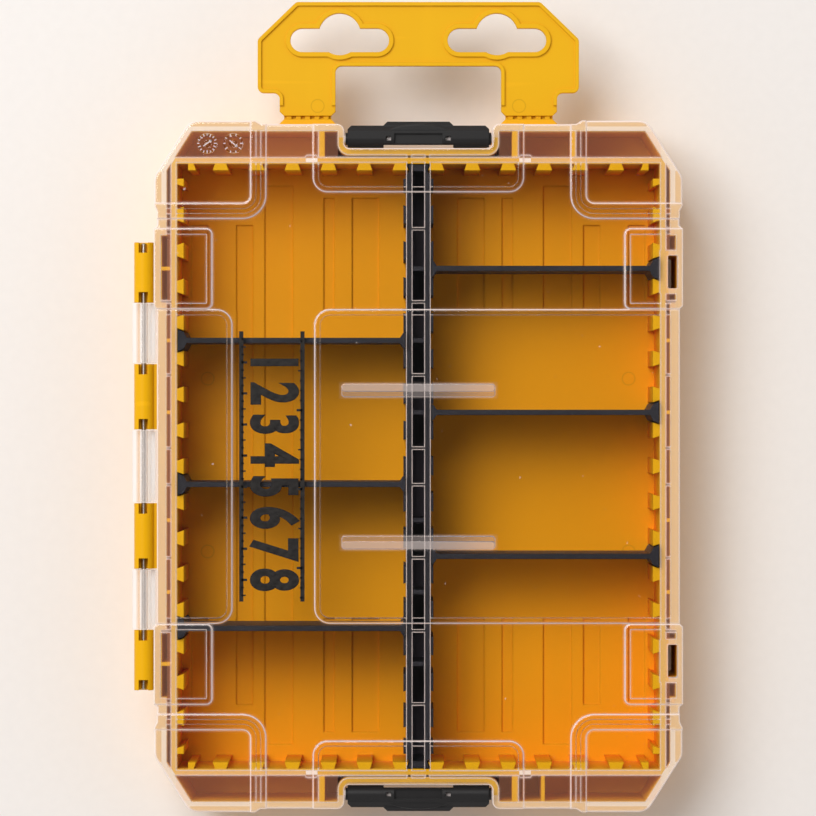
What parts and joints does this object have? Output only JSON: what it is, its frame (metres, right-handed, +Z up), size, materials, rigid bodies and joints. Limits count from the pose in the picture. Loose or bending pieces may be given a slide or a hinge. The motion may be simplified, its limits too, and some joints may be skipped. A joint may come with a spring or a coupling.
{
  "type": "storage case",
  "caption": "Flat parts case with a clear hinged lid, latches at both ends, removable dividers and a hang tab.",
  "frame": {"origin": "centre of the case's underside, without the hinge and the hang tab", "axes": "+Z up through the lid of the case lying flat, +Y to the hang tab, hinge on the -X side"},
  "size_m": [0.1774, 0.2615, 0.0452],
  "materials": {
    "yellow_plastic": "satin moulded",
    "clear_plastic": "clear polished, light frosting on the bevels",
    "black_plastic": "fine satin",
    "steel_wire": "drawn wire"
  },
  "bodies": {
    "base": {"base_tub": "yellow_plastic", "hanger": "yellow_plastic", "hinge_pin": "steel_wire", "centre_divider": "black_plastic", "left_divider_1": "black_plastic", "left_divider_2": "black_plastic", "left_divider_3": "black_plastic", "right_divider_1": "black_plastic", "right_divider_2": "black_plastic", "right_divider_3": "black_plastic"},
    "lid": {"lid": "clear_plastic"},
    "top_latch": {"top_latch": "black_plastic"},
    "bottom_latch": {"bottom_latch": "black_plastic"}
  },
  "joints": [
    {"name": "lid_hinge", "type": "hinge", "parent": "base", "child": "lid", "pos_m": [-0.0886, 0, 0.0381], "axis": [0, -1, 0], "range_deg": [0, 180]},
    {"name": "top_latch_hinge", "type": "hinge", "parent": "lid", "child": "top_latch", "pos_m": [0, 0.1056, 0.0396], "axis": [1, 0, 0], "range_deg": [0, 95]},
    {"name": "bottom_latch_hinge", "type": "hinge", "parent": "lid", "child": "bottom_latch", "pos_m": [0, -0.1056, 0.0396], "axis": [-1, 0, 0], "range_deg": [0, 95]}
  ]
}
